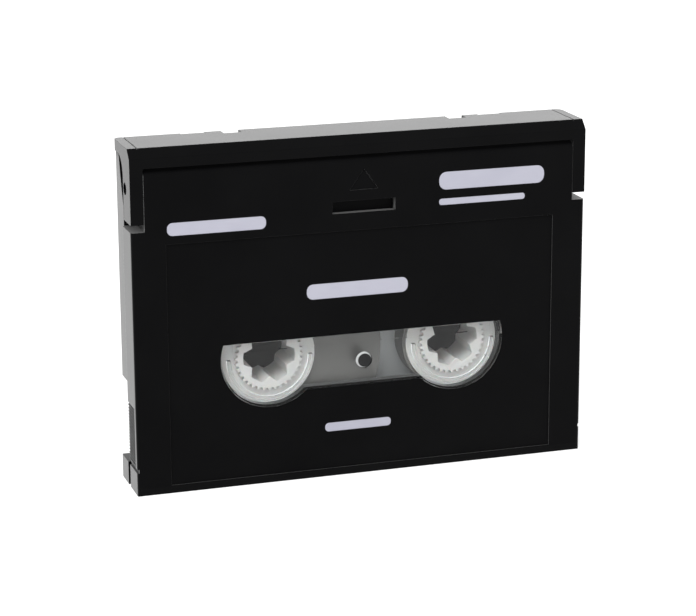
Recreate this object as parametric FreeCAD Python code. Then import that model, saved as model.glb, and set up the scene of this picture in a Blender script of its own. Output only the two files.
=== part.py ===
"""Data tape cartridge, 4 mm (DDS) size, built as separate solids in millimetres.

Frame: X across the width, Y through the thickness (-Y is the label face, +Y the slider face),
Z from the spine (0) up to the front plane of the lid.  The row stands on its spine.
Names that end in _IN are measured in from the lid's front plane or from the cartridge's side.
"""
import math
import os

import FreeCAD, Part

VEC = FreeCAD.Vector

# ---- whole cartridge --------------------------------------------------------------------
WIDTH = 73.0                 # across X
DEPTH = 54.0                 # spine to lid, along Z
THICKNESS = 10.5             # label face to slider face, along Y
UPPER_H = 5.55               # label face to the plane where the two shell halves meet
PLATE = 1.2                  # label-side plate
FLOOR = 1.1                  # slider-side plate
WALL = 1.2                   # side and rear walls
NECK_WALL = 0.9              # side walls between the lid's arms
EDGE_R = 0.5                 # rounding of the label face's long side edges

# ---- lid --------------------------------------------------------------------------------
LID_PLATE = 1.4              # front plate
LID_LIP = 1.0                # strip of the lid that folds over the label face
LID_LIP_DEPTH = 2.9          # lid front plane down to the free edge of that strip
LID_BEVEL = 1.4              # bevel along the lid's label-side edge
ARM_T = 2.0                  # side arm thickness, along X
ARM_W = 4.45                 # side arm, label face to its slider-side edge
ARM_LENGTH = 11.4            # lid front plane down to the arms' ends
END_CAP_T = 1.7              # the lid's end above the slider
PIVOT_DEEP = 3.25            # lid hinge axis behind the label face
PIVOT_IN = 6.4
PIVOT_R = 1.35               # hinge journal
PIVOT_CORE_R = 0.95          # moulded core in the journal, seen from outside
PIVOT_FIT = 0.05             # running clearance of the journal in its bore
ARM_GAP = 0.1                # arm to shell
SWING_GAP = 0.12             # shell edge to the swing of the lid's lip
LID_OPEN = 85.0              # degrees
DEEP_NOTCH_IN = (19.6, 16.8, 2.0)    # from, to, depth at the lid's slider-side edge
SHALLOW_NOTCH_IN = (14.2, 10.4, 0.5)
LID_LINE_IN = 1.6            # fine line across the lid, in from its end
LID_LINE = 0.16              # width and depth of that line

# ---- slider -----------------------------------------------------------------------------
SLIDER_T = 0.95              # slider plate
SLIDER_WALL = 1.0            # slider side walls
SLIDER_INSET = 0.25          # slider side wall behind the side of the cartridge
SLIDE_GAP = 0.1              # slider plate to floor
SIDE_GAP = 0.15              # slider side wall to shell
SLIDER_FRONT_IN = 1.9        # front end, closed
SLIDER_TRAVEL = 12.5
SLIDER_STOP = 0.45           # side walls to the corner blocks with the slider back
APRON_STOP = 0.2             # apron to the strip along the spine with the slider back
APRON_GAP = 0.5              # apron to the corner pads
LIP_W = 0.35                 # retaining lip on the side walls, reach
LIP_H = 0.6
LIP_BACK = 2.65              # lip to the slider face
LIP_GAP = 0.12
RELIEF_GAP = 0.25            # slider wall to the path of the lid's arm

# ---- reels and tape ---------------------------------------------------------------------
HUB_PITCH = 30.0
HUB_Z = 20.0
CORE_R = 7.5                 # tape winds on this
CORE_OVER = 0.4              # core beyond the tape's label-side edge
CORE_GAP = 0.2               # core to the floor
RING_R = 5.45                # brake-tooth ring
RING_GAP = 0.6               # tooth ring to the label plate
TOOTH_H = 0.42
TOOTH_COUNT = 36
SPLINE_ROOT_R = 4.15         # spindle hole
SPLINE_TIP_R = 3.15
SPLINE_COUNT = 6
SPLINE_HALF_DEG = 19.0
SPLINE_TURN = 160.0          # angle of one spline on the take-up hub
HUB_SUNK = 0.15              # hub's end below the floor's outer face
HUB_FIT = 0.05               # hub collar in the floor hole
LEAD_IN = 1.2                # taper at the slider end of the splines
CLAMP_R = 6.1                # leader clamp, inner radius
CLAMP_HALF_DEG = 13.0
TAPE_W = 3.81
TAPE_DEEP = 1.65             # label plate to the tape's edge
TAPE_T = 0.1
PACK_ROOM = 0.35             # full pack to the nearest wall
TURNS_T = 0.45               # few turns on the take-up hub
PACK_GAP = 0.06
PIN_SIDE_IN = 5.5            # tape guide pins
PIN_IN = 4.8
PIN_R = 1.5
PIN_SEAT = 0.3

# ---- window -----------------------------------------------------------------------------
BULB_R = 8.0
BULB_UP = 0.25               # bulb centre above the hub centre
WIN_TOP_UP = 2.8
WIN_MID_DOWN = 5.5
WIN_FIT = 0.04
SKIRT_IN = 0.25              # well wall stands in from the opening as a ledge
SKIRT_OUT = 0.6
HALF_RING = (6.25, 6.85)     # moulded half rings over each hub
HALF_RING_H = 0.75
WIN_FLANGE = 0.4
WIN_FLANGE_HALF = 6.0        # flange beyond each hub's centre line
DIMPLE_R = 1.35
DIMPLE_DOWN = 1.6
DIMPLE_DEPTH = 0.35

# ---- label face -------------------------------------------------------------------------
LABEL_SIDE_IN = 5.3
LABEL_REAR_Z = 1.3
LABEL_FRONT_IN = 14.7
LABEL_DEPTH = 0.25
GRIP_HALF = 5.07             # loading grip
GRIP_IN = (11.95, 10.05)
GRIP_DEPTH = 1.2
GRIP_FLOOR = 0.8
ARROW_APEX_IN = 5.2
ARROW_BASE_IN = 8.4
ARROW_HALF = 2.3
ARROW_DEPTH = 0.15
FOOT_Z = 1.2                 # faint slope along the spine edge
FOOT_IN = 0.15

# ---- rear corners, grips and holes ------------------------------------------------------
BLOCK_Z = 3.7                # rear corner blocks
GROOVE_UP = 0.5              # groove round the blocks, from the seam toward each face
GROOVE_DOWN = 0.85
RIDGE_Z = (4.3, 14.0)
RIDGE_COUNT = 19
RIDGE_FACE = 1.15            # label face to the ridges
RIDGE_DEPTH = 0.3
PAD_SIDE_IN = 12.5           # corner pads start here
STRIP_Z = 0.8                # strip along the spine on the slider face
SENSE_R = 1.25               # recognition and write-inhibit holes
SENSE_Z = 1.95
SENSE_SIDE_IN = (3.5, 7.3, 11.1)     # the last one is on the take-up side as well
INHIBIT_SIDE_IN = 7.1
TAB_L = 3.4
TAB_TRAVEL = 3.2
TAB_Z = (0.5, 3.3)
TAB_SEAM = 0.15              # tab to the seam
TAB_BACK = 1.75              # tab to the slider face
TAB_GAP = 0.1
TAB_NUB = 0.6
DATUM_R = 1.4
DATUM_WALL = 2.8             # hole's axis to the front pocket
DATUM_IN = 8.8
DATUM_SLOT = 0.5             # how far the second hole is drawn out each way

# ---- front pocket, screws, prisms, springs, brake ---------------------------------------
POCKET_SIDE_IN = 15.0
POCKET_WALL = 1.0
CROSS_IN = (13.4, 12.2)      # cross wall between reels and pocket
CROSS_PIN = 2.8              # guide pin's axis to the end of the cross wall
CORNER_IN = 7.0              # corner blocks' front end
FRONT_IN = 1.8               # front end of the lower shell
SCREW_REAR_SIDE_IN = 5.7
SCREW_REAR_Z = 5.6
SCREW_FRONT_SIDE_IN = 9.7
SCREW_FRONT_IN = 11.6
SCREW_R = 0.7
SCREW_HEAD_R = 1.5
SCREW_HEAD_T = 0.6
SCREW_SINK = 0.7
SCREW_GAP = 0.15
SCREW_END = 0.65             # shank's end to the label plate
BOSS_R = 1.5
PRISM_W = 3.0
PRISM_IN = (6.6, 3.8)
PRISM_UP = 2.2               # prism from the seam toward the label plate
PRISM_DOWN = 0.6
PRISM_HOLE_R = 0.8
LINER_T = 0.15
LINER_EDGE = 0.6             # liner sheets to the walls around the reels
LINER_GAP = 0.15
LINER_HOLE_R = 7.8
LINER_RIB_IN = 6.9
LINER_RIB_Z = (8.5, 36.0)
RIB = 0.8
BRAKE_T = 1.05
BRAKE_PLATE_GAP = 0.05
BRAKE_BAR_UP = (9.2, 11.6)           # brake bar above the hub centres, from, to
BRAKE_ARM = 1.3
BRAKE_STEM_HALF = 2.5
BRAKE_STEM_STOP = 1.2                # stem to the cross wall
BRAKE_CLEAR = 0.1
BRAKE_SLOT_HALF = 0.65
BRAKE_SLOT_L = 5.2
BRAKE_SLOT_END = 0.7                 # slot to the stem's end
BRAKE_POST_L = 0.6
BRAKE_RAIL = 0.85
BRAKE_RAIL_GAP = 2.0                 # bar to the rails
CHANNEL_HALF = 0.8
CHANNEL_STOP = 1.1                   # channel to the cross wall
CHANNEL_DEEP = 0.5                   # channel's bottom inside the floor
CHANNEL_RIB = (1.7, 0.6)             # half width, thickness under the channel
PEG_STOP = 0.3                       # peg to the channel's front end
PEG_L = 0.9
SPRING_LEFT = 2.6                    # channel left for the coils with the slider back
SPRING_WIRE = 0.1
SLIDER_COIL_R = 0.55
SLIDER_COILS = 12
BRAKE_COIL_R = 0.36
BRAKE_COILS = 5
STUB_R = 0.8                         # end of the left journal, inside the lid spring
STUB_L = 0.55
LID_COIL_R = 1.05
LID_COILS = 2
LID_COIL_PITCH = 0.24
LID_LEG = 3.4

# ---- planes that follow from the sizes above --------------------------------------------
HALF_W = WIDTH / 2
FACE_Y = -THICKNESS / 2
BACK_Y = THICKNESS / 2
SEAM_Y = FACE_Y + UPPER_H
PLATE_IN = FACE_Y + PLATE
SLIDER_IN = BACK_Y - SLIDER_T
FLOOR_OUT = SLIDER_IN - SLIDE_GAP
FLOOR_IN = FLOOR_OUT - FLOOR
SLIDER_HALF = HALF_W - SLIDER_INSET
LOWER_HALF = SLIDER_HALF - SLIDER_WALL - SIDE_GAP
CAVITY_HALF = LOWER_HALF - WALL
NECK_HALF = HALF_W - ARM_T - ARM_GAP
NECK_IN = NECK_HALF - NECK_WALL
PIVOT_Y = FACE_Y + PIVOT_DEEP
PIVOT_Z = DEPTH - PIVOT_IN
ARM_BACK_Y = FACE_Y + ARM_W
ARM_END_Z = DEPTH - ARM_LENGTH
END_CAP_Z = DEPTH - END_CAP_T
ARM_SWING = math.hypot(PIVOT_Y - FACE_Y, PIVOT_Z - ARM_END_Z)
NECK_Z = PIVOT_Z - ARM_SWING - 2 * ARM_GAP
LID_IN_Z = DEPTH - LID_PLATE
LIP_Z = DEPTH - LID_LIP_DEPTH
LIP_SWING = math.hypot(PIVOT_Y - FACE_Y - LID_LIP, LIP_Z - PIVOT_Z)
FRONT_R = LIP_SWING - SWING_GAP
UPPER_FRONT_Z = PIVOT_Z + FRONT_R
FRONT_Z = DEPTH - FRONT_IN
SLIDER_FRONT_Z = DEPTH - SLIDER_FRONT_IN
SLIDER_REAR_Z = BLOCK_Z + SLIDER_TRAVEL + SLIDER_STOP
APRON_Z = STRIP_Z + SLIDER_TRAVEL + APRON_STOP
PAD_HALF = HALF_W - PAD_SIDE_IN
APRON_HALF = PAD_HALF - APRON_GAP
LIP_Y = (BACK_Y - LIP_BACK - LIP_H, BACK_Y - LIP_BACK)
HUB_X = HUB_PITCH / 2
CROSS_Z = (DEPTH - CROSS_IN[0], DEPTH - CROSS_IN[1])
PACK_R = min(HUB_Z - WALL, CROSS_Z[0] - HUB_Z, CAVITY_HALF - HUB_X) - PACK_ROOM
TAPE_Y = PLATE_IN + TAPE_DEEP
TAPE_END_Y = TAPE_Y + TAPE_W
CORE_Y = (TAPE_Y - CORE_OVER, FLOOR_IN - CORE_GAP)
RING_Y = PLATE_IN + RING_GAP
HUB_END_Y = FLOOR_OUT - HUB_SUNK
HUB_HOLE_R = RING_R + HUB_FIT
PIN_X = HALF_W - PIN_SIDE_IN
PIN_Z = DEPTH - PIN_IN
BULB_Z = HUB_Z + BULB_UP
WIN_TOP_Z = HUB_Z + WIN_TOP_UP
WIN_MID_Z = HUB_Z - WIN_MID_DOWN
DIMPLE_Z = HUB_Z - DIMPLE_DOWN
HALF_RING_Y = PLATE_IN + HALF_RING_H
LABEL_Y = FACE_Y + LABEL_DEPTH
LABEL_HALF = HALF_W - LABEL_SIDE_IN
LABEL_Z = (LABEL_REAR_Z, DEPTH - LABEL_FRONT_IN)
GRIP_Z = (DEPTH - GRIP_IN[0], DEPTH - GRIP_IN[1])
ARROW_APEX_Z = DEPTH - ARROW_APEX_IN
ARROW_BASE_Z = DEPTH - ARROW_BASE_IN
BLOCK_GROOVE = (SEAM_Y - GROOVE_UP, SEAM_Y + GROOVE_DOWN)
RIDGE_Y = FACE_Y + RIDGE_FACE
SENSE_X = [d - HALF_W for d in SENSE_SIDE_IN] + [HALF_W - SENSE_SIDE_IN[-1]]
INHIBIT_X = HALF_W - INHIBIT_SIDE_IN
TAB_Y = (SEAM_Y + TAB_SEAM, BACK_Y - TAB_BACK)
POCKET_HALF = HALF_W - POCKET_SIDE_IN
DATUM_X = POCKET_HALF + DATUM_WALL
DATUM_Z = DEPTH - DATUM_IN
CROSS_HALF = PIN_X - CROSS_PIN
CORNER_TOP_Z = DEPTH - CORNER_IN
SCREW_REAR = (HALF_W - SCREW_REAR_SIDE_IN, SCREW_REAR_Z)
SCREW_FRONT = (HALF_W - SCREW_FRONT_SIDE_IN, DEPTH - SCREW_FRONT_IN)
SCREW_END_Y = PLATE_IN + SCREW_END
PRISM_MID_X = (POCKET_HALF + POCKET_WALL + PIN_X - PIN_R) / 2
PRISM_X = (PRISM_MID_X - PRISM_W / 2, PRISM_MID_X + PRISM_W / 2)
PRISM_Y = (SEAM_Y - PRISM_UP, SEAM_Y + PRISM_DOWN)
PRISM_Z = (DEPTH - PRISM_IN[0], DEPTH - PRISM_IN[1])
LINER_UP = (TAPE_Y - LINER_GAP - LINER_T, TAPE_Y - LINER_GAP)
LINER_LOW = (TAPE_END_Y + LINER_GAP, TAPE_END_Y + LINER_GAP + LINER_T)
LINER_HALF = CAVITY_HALF - LINER_EDGE
LINER_Z = (WALL + LINER_EDGE, CROSS_Z[0] - LINER_EDGE)
LINER_RIB_X = CAVITY_HALF - LINER_RIB_IN
TURNS_R = CORE_R + TURNS_T
BRAKE_Y = (PLATE_IN + BRAKE_PLATE_GAP, PLATE_IN + BRAKE_PLATE_GAP + BRAKE_T)
BRAKE_BAR_Z = (HUB_Z + BRAKE_BAR_UP[0], HUB_Z + BRAKE_BAR_UP[1])
STEM_TOP_Z = CROSS_Z[0] - BRAKE_STEM_STOP
BRAKE_SLOT_Z = (STEM_TOP_Z - BRAKE_SLOT_END - BRAKE_SLOT_L, STEM_TOP_Z - BRAKE_SLOT_END)
BRAKE_POST_Z = (BRAKE_SLOT_Z[1] - BRAKE_CLEAR - BRAKE_POST_L, BRAKE_SLOT_Z[1] - BRAKE_CLEAR)
CHANNEL_TOP_Z = CROSS_Z[0] - CHANNEL_STOP
PEG_Z = (CHANNEL_TOP_Z - PEG_STOP - PEG_L, CHANNEL_TOP_Z - PEG_STOP)
CHANNEL_Z = (PEG_Z[0] - SLIDER_TRAVEL - SPRING_LEFT, CHANNEL_TOP_Z)
CHANNEL_Y = FLOOR_IN - CHANNEL_DEEP
FAR = 200.0


def box(x0, x1, y0, y1, z0, z1):
    return Part.makeBox(x1 - x0, y1 - y0, z1 - z0, VEC(x0, y0, z0))


def cyl_y(x, z, r, y0, y1):
    return Part.makeCylinder(r, y1 - y0, VEC(x, y0, z), VEC(0, 1, 0))


def cyl_x(y, z, r, x0, x1):
    return Part.makeCylinder(r, x1 - x0, VEC(x0, y, z), VEC(1, 0, 0))


def prism_xz(points, y0, y1):
    loop = [VEC(x, y0, z) for x, z in points]
    face = Part.Face(Part.makePolygon(loop + loop[:1]))
    return face.extrude(VEC(0, y1 - y0, 0))


def prism_yz(points, x0, x1):
    loop = [VEC(x0, y, z) for y, z in points]
    face = Part.Face(Part.makePolygon(loop + loop[:1]))
    return face.extrude(VEC(x1 - x0, 0, 0))


def mirrored(shape):
    return shape.mirror(VEC(0, 0, 0), VEC(1, 0, 0))


def both_sides(shape):
    """The shape and its mirror image on the other side, as a list."""
    return [shape, mirrored(shape)]


def joined(shapes):
    return shapes[0].multiFuse(shapes[1:]).removeSplitter()


def fillet_upright(shape, r, test):
    edges = [e for e in shape.Edges if test(e.BoundBox)]
    return shape.makeFillet(r, edges)


def ring(x, z, r_in, r_out, y0, y1):
    return cyl_y(x, z, r_out, y0, y1).cut(cyl_y(x, z, r_in, y0, y1))


def coil(radius, length, turns, leg=0):
    """Round-wire coil along +Z that starts at +X, with a straight leg before it if leg > 0.

    Each half turn is one tilted arc. The arcs share their tangents, so the wire is smooth."""
    rise = length / turns / 2
    bow = math.hypot(radius, rise / 2)
    start = VEC(radius, -leg, 0)
    path = [Part.makeLine(start, VEC(radius, 0, 0))] if leg else []
    for i in range(2 * turns):
        side = (-1) ** i
        a = VEC(side * radius, 0, i * rise)
        b = VEC(-side * radius, 0, (i + 1) * rise)
        path.append(Part.Arc(a, (a + b) / 2 + VEC(0, side * bow, 0), b).toShape())
    section = Part.Wire(Part.makeCircle(SPRING_WIRE, start, VEC(0, 1, 0)))
    return Part.Wire(path).makePipeShell([section], True, False)


# ---- window outline ---------------------------------------------------------------------
def window_blank(inset, y0, y1):
    """Two round bulbs over the hubs joined by a straight middle, cut off level at the top."""
    r = BULB_R - inset
    bulbs = [cyl_y(s * HUB_X, BULB_Z, r, y0, y1) for s in (-1, 1)]
    middle = box(-HUB_X, HUB_X, y0, y1, WIN_MID_Z + inset, WIN_TOP_Z - inset)
    above = box(-FAR, FAR, y0 - 1, y1 + 1, WIN_TOP_Z - inset, FAR)
    return joined(bulbs + [middle]).cut(above)


def window():
    pane = window_blank(WIN_FIT, LABEL_Y, PLATE_IN)
    flange_z = (WIN_TOP_Z - 2 * RIB, WIN_TOP_Z + 2 * RIB)
    half = HUB_X + WIN_FLANGE_HALF
    flange = box(-half, half, PLATE_IN, PLATE_IN + WIN_FLANGE, *flange_z)
    below = box(-FAR, FAR, PLATE_IN, HALF_RING_Y, -FAR, HUB_Z)
    parts = [pane, flange]
    for s in (-1, 1):
        whole = ring(s * HUB_X, HUB_Z, HALF_RING[0], HALF_RING[1], PLATE_IN, HALF_RING_Y)
        parts.append(whole.common(below))
    dimple = cyl_y(0, DIMPLE_Z, DIMPLE_R, LABEL_Y, LABEL_Y + DIMPLE_DEPTH)
    return joined(parts).cut(dimple)


# ---- upper shell ------------------------------------------------------------------------
def upper_outer():
    """Solid block of the label-side half, before it is hollowed."""
    wide = box(-HALF_W, HALF_W, FACE_Y, SEAM_Y, 0, NECK_Z)

    def at_face(b):
        return b.ZLength > NECK_Z - 0.01 and b.YMax < FACE_Y + 0.01

    wide = fillet_upright(wide, EDGE_R, at_face)
    neck = box(-NECK_HALF, NECK_HALF, FACE_Y, SEAM_Y, NECK_Z - 1, UPPER_FRONT_Z)
    whole = joined([wide, neck])
    foot = [(FACE_Y, 0), (FACE_Y + FOOT_IN, 0), (FACE_Y, FOOT_Z)]
    return whole.cut([swing_cut(), prism_yz(foot, -HALF_W, HALF_W)])


def swing_cut():
    """What the lid's lip sweeps past at the front edge of the label plate."""
    corner = box(-FAR, FAR, FACE_Y - 1, PIVOT_Y, PIVOT_Z, UPPER_FRONT_Z + 1)
    return corner.cut(cyl_x(PIVOT_Y, PIVOT_Z, FRONT_R, -FAR, FAR))


def upper_hollow():
    reels = box(-CAVITY_HALF, CAVITY_HALF, PLATE_IN, SEAM_Y, WALL, NECK_Z)
    front = box(-NECK_IN, NECK_IN, PLATE_IN, SEAM_Y, NECK_Z - 1, FAR)
    return [reels, front]


def upper_ribs():
    """Walls and bosses that stand on the inside of the label plate."""
    cross = box(-CROSS_HALF, CROSS_HALF, PLATE_IN, SEAM_Y, *CROSS_Z)
    side = box(POCKET_HALF, POCKET_HALF + POCKET_WALL, PLATE_IN, SEAM_Y, CROSS_Z[0], PIN_Z)
    rib = box(LINER_RIB_X, LINER_RIB_X + RIB, PLATE_IN, LINER_UP[0], *LINER_RIB_Z)
    rear = box(PAD_HALF, CAVITY_HALF, PLATE_IN, SEAM_Y, 0, BLOCK_Z + RIB)
    pillar = box(DATUM_X - DATUM_R - RIB, DATUM_X + DATUM_R + RIB, PLATE_IN, SEAM_Y,
                 DATUM_Z - DATUM_R - RIB / 2, CORNER_TOP_Z)
    rail_in = BRAKE_STEM_HALF + BRAKE_CLEAR
    rail = box(rail_in, rail_in + BRAKE_RAIL, PLATE_IN, BRAKE_Y[1],
               BRAKE_BAR_Z[1] + BRAKE_RAIL_GAP, CROSS_Z[0])
    half = BRAKE_SLOT_HALF - BRAKE_CLEAR
    post = box(-half, half, PLATE_IN, BRAKE_Y[1], *BRAKE_POST_Z)
    grip = box(-GRIP_HALF - 1, GRIP_HALF + 1, PLATE_IN, FACE_Y + GRIP_DEPTH + GRIP_FLOOR,
               GRIP_Z[0] - 1, GRIP_Z[1] + 1)
    ribs = [cross, post, grip]
    for shape in (side, rib, rail, rear, pillar):
        ribs += both_sides(shape)
    for x, z in (SCREW_REAR, SCREW_FRONT):
        ribs += both_sides(cyl_y(x, z, BOSS_R, PLATE_IN, SEAM_Y))
    return ribs


def skirt():
    """Black well wall under the window, down to the liner sheet."""
    outer = window_blank(-SKIRT_OUT, PLATE_IN, LINER_UP[0])
    inner = window_blank(SKIRT_IN, PLATE_IN, LINER_UP[0])
    top = box(-FAR, FAR, PLATE_IN, LINER_UP[0], WIN_TOP_Z - 3 * RIB, FAR)
    return outer.cut([inner, top])


def ridges():
    """Saw-tooth grooves of the finger grip, on the +X side."""
    pitch = (RIDGE_Z[1] - RIDGE_Z[0]) / RIDGE_COUNT
    deep = HALF_W - RIDGE_DEPTH
    tools = []
    for i in range(RIDGE_COUNT):
        z = RIDGE_Z[0] + i * pitch
        loop = [VEC(deep, RIDGE_Y, z), VEC(HALF_W + 0.1, RIDGE_Y, z + 0.7 * pitch)]
        loop.append(VEC(HALF_W + 0.1, RIDGE_Y, z - 0.45 * pitch))
        face = Part.Face(Part.makePolygon(loop + loop[:1]))
        tools.append(face.extrude(VEC(0, SEAM_Y - RIDGE_Y, 0)))
    tools.append(box(deep, HALF_W + 1, FACE_Y - 1, SEAM_Y, BLOCK_Z, RIDGE_Z[0]))
    return tools


def arrow():
    points = [(0, ARROW_APEX_Z), (ARROW_HALF, ARROW_BASE_Z), (-ARROW_HALF, ARROW_BASE_Z)]
    return prism_xz(points, FACE_Y, FACE_Y + ARROW_DEPTH)


def upper_cuts():
    """Everything taken out of the label-side half after the ribs are on."""
    cuts = [window_blank(0, FACE_Y, PLATE_IN), arrow()]
    cuts.append(box(-LABEL_HALF, LABEL_HALF, FACE_Y, LABEL_Y, *LABEL_Z))
    cuts.append(box(-GRIP_HALF, GRIP_HALF, FACE_Y, FACE_Y + GRIP_DEPTH, *GRIP_Z))
    groove = box(LOWER_HALF, HALF_W, BLOCK_GROOVE[0], SEAM_Y, 0, BLOCK_Z)
    bore = cyl_x(PIVOT_Y, PIVOT_Z, PIVOT_R + PIVOT_FIT, NECK_IN, NECK_HALF)
    socket = cyl_y(PIN_X, PIN_Z, PIN_R, PLATE_IN - PIN_SEAT, PLATE_IN)
    for shape in [groove, bore, socket] + ridges():
        cuts += both_sides(shape)
    for x, z in (SCREW_REAR, SCREW_FRONT):
        cuts += both_sides(cyl_y(x, z, SCREW_R, SCREW_END_Y, SEAM_Y))
    return cuts + pack_clearance(LINER_UP[0], SEAM_Y)


def upper_shell():
    body = upper_outer().cut(upper_hollow())
    body = joined([body, skirt()] + upper_ribs())
    return body.cut(upper_cuts())


# ---- lower shell ------------------------------------------------------------------------
def lower_outer():
    wide = box(-LOWER_HALF, LOWER_HALF, SEAM_Y, FLOOR_OUT, 0, NECK_Z)
    neck = box(-NECK_HALF, NECK_HALF, SEAM_Y, FLOOR_OUT, NECK_Z - 1, FRONT_Z)
    strip = box(-HALF_W, HALF_W, FLOOR_OUT, BACK_Y, 0, STRIP_Z)
    block = box(LOWER_HALF, HALF_W, BLOCK_GROOVE[1], BACK_Y, 0, BLOCK_Z)
    pad = box(PAD_HALF, HALF_W, FLOOR_OUT, BACK_Y, 0, BLOCK_Z)
    return [wide, neck, strip] + both_sides(block) + both_sides(pad)


def lower_hollow():
    reels = box(-CAVITY_HALF, CAVITY_HALF, SEAM_Y, FLOOR_IN, WALL, NECK_Z)
    front = box(-NECK_IN, NECK_IN, SEAM_Y, FLOOR_IN, NECK_Z - 1, FAR)
    pocket = box(-POCKET_HALF, POCKET_HALF, SEAM_Y, FLOOR_OUT, CROSS_Z[1], FAR)
    return [reels, front, pocket]


def lower_ribs():
    """Blocks and walls that stand on the inside of the slider-side plate."""
    cross = box(-CROSS_HALF, CROSS_HALF, SEAM_Y, FLOOR_IN, *CROSS_Z)
    corner = box(POCKET_HALF, CROSS_HALF, SEAM_Y, FLOOR_IN, CROSS_Z[0], CORNER_TOP_Z)
    ledge = box(POCKET_HALF, PRISM_X[1], PRISM_Y[1], FLOOR_IN, CORNER_TOP_Z, PRISM_Z[1])
    rear = box(PAD_HALF, CAVITY_HALF, SEAM_Y, FLOOR_IN, 0, BLOCK_Z + RIB)
    rib = box(LINER_RIB_X, LINER_RIB_X + RIB, LINER_LOW[1], FLOOR_IN, *LINER_RIB_Z)
    boss = cyl_y(SCREW_REAR[0], SCREW_REAR[1], BOSS_R, SEAM_Y, FLOOR_IN)
    half, under = CHANNEL_RIB
    channel = box(-half, half, CHANNEL_Y - under, FLOOR_IN, CHANNEL_Z[0] - 1, CHANNEL_Z[1] + 1)
    ribs = [cross, channel]
    for shape in (corner, ledge, rear, rib, boss):
        ribs += both_sides(shape)
    return ribs


def pack_clearance(y0, y1):
    """Room for a full pack on either hub, taken out of the corner blocks."""
    r = PACK_R + PACK_GAP
    return [cyl_y(s * HUB_X, HUB_Z, r, y0, y1) for s in (-1, 1)]


def screw_holes_lower():
    holes = []
    for x, z in (SCREW_REAR, SCREW_FRONT):
        holes += both_sides(cyl_y(x, z, SCREW_R + SCREW_GAP, SEAM_Y, FLOOR_OUT))
        holes += both_sides(cyl_y(x, z, SCREW_HEAD_R + SCREW_GAP, FLOOR_OUT - SCREW_SINK, FLOOR_OUT))
    return holes


def datum_holes():
    """One round hole and one drawn-out hole that the drive's pins enter."""
    holes = [cyl_y(-DATUM_X, DATUM_Z, DATUM_R, SEAM_Y, FLOOR_OUT)]
    for s in (-1, 1):
        holes.append(cyl_y(DATUM_X + s * DATUM_SLOT, DATUM_Z, DATUM_R, SEAM_Y, FLOOR_OUT))
    holes.append(box(DATUM_X - DATUM_SLOT, DATUM_X + DATUM_SLOT, SEAM_Y, FLOOR_OUT,
                     DATUM_Z - DATUM_R, DATUM_Z + DATUM_R))
    return holes


def tab_room():
    """Pocket, spine slot and write-inhibit hole for the write-protect tab."""
    x0 = INHIBIT_X - TAB_L / 2 - TAB_GAP
    x1 = INHIBIT_X + TAB_L / 2 + TAB_TRAVEL + TAB_GAP
    pocket = box(x0, x1, SEAM_Y, TAB_Y[1] + TAB_GAP, TAB_Z[0] - TAB_GAP, TAB_Z[1] + TAB_GAP)
    slot_y = tab_nub_y()
    slot = box(INHIBIT_X - TAB_NUB - TAB_GAP, INHIBIT_X + TAB_NUB + TAB_TRAVEL + TAB_GAP,
               slot_y[0] - TAB_GAP, slot_y[1] + TAB_GAP, 0, TAB_Z[0])
    hole = cyl_y(INHIBIT_X, SENSE_Z, SENSE_R, TAB_Y[1], BACK_Y)
    return [pocket, slot, hole]


def tab_nub_y():
    middle = (TAB_Y[0] + TAB_Y[1]) / 2
    return (middle - TAB_NUB, middle + TAB_NUB)


def lower_cuts():
    cuts = [cyl_y(s * HUB_X, HUB_Z, HUB_HOLE_R, FLOOR_IN, FLOOR_OUT) for s in (-1, 1)]
    cuts.append(box(-CHANNEL_HALF, CHANNEL_HALF, CHANNEL_Y, FLOOR_OUT, *CHANNEL_Z))
    for x in SENSE_X:
        cuts.append(cyl_y(x, SENSE_Z, SENSE_R, SEAM_Y, BACK_Y))
    groove = box(LOWER_HALF - LIP_W, LOWER_HALF, LIP_Y[0] - LIP_GAP, LIP_Y[1] + LIP_GAP,
                 BLOCK_Z, NECK_Z)
    socket = cyl_y(PIN_X, PIN_Z, PIN_R, FLOOR_IN, FLOOR_IN + PIN_SEAT)
    light = cyl_y((PRISM_X[0] + PRISM_X[1]) / 2, (PRISM_Z[0] + PRISM_Z[1]) / 2,
                  PRISM_HOLE_R, PRISM_Y[1], FLOOR_OUT)
    prism_seat = box(PRISM_X[0], PRISM_X[1], SEAM_Y, PRISM_Y[1], *PRISM_Z)
    for shape in (groove, socket, light, prism_seat):
        cuts += both_sides(shape)
    cuts += pack_clearance(SEAM_Y, LINER_LOW[1])
    return cuts + screw_holes_lower() + datum_holes() + tab_room()


def lower_shell():
    body = joined(lower_outer()).cut(lower_hollow())
    body = joined([body] + lower_ribs())
    return body.cut(lower_cuts())


# ---- lid --------------------------------------------------------------------------------
def lid_bar():
    """Front plate with its bevel and the strip folded over the label face, full width."""
    bevel_z = DEPTH - LID_BEVEL
    points = [(FACE_Y, LIP_Z), (FACE_Y + LID_LIP, LIP_Z), (FACE_Y + LID_LIP, LID_IN_Z),
              (BACK_Y, LID_IN_Z), (BACK_Y, DEPTH), (FACE_Y + LID_BEVEL, DEPTH), (FACE_Y, bevel_z)]
    return prism_yz(points, -HALF_W, HALF_W)


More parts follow.
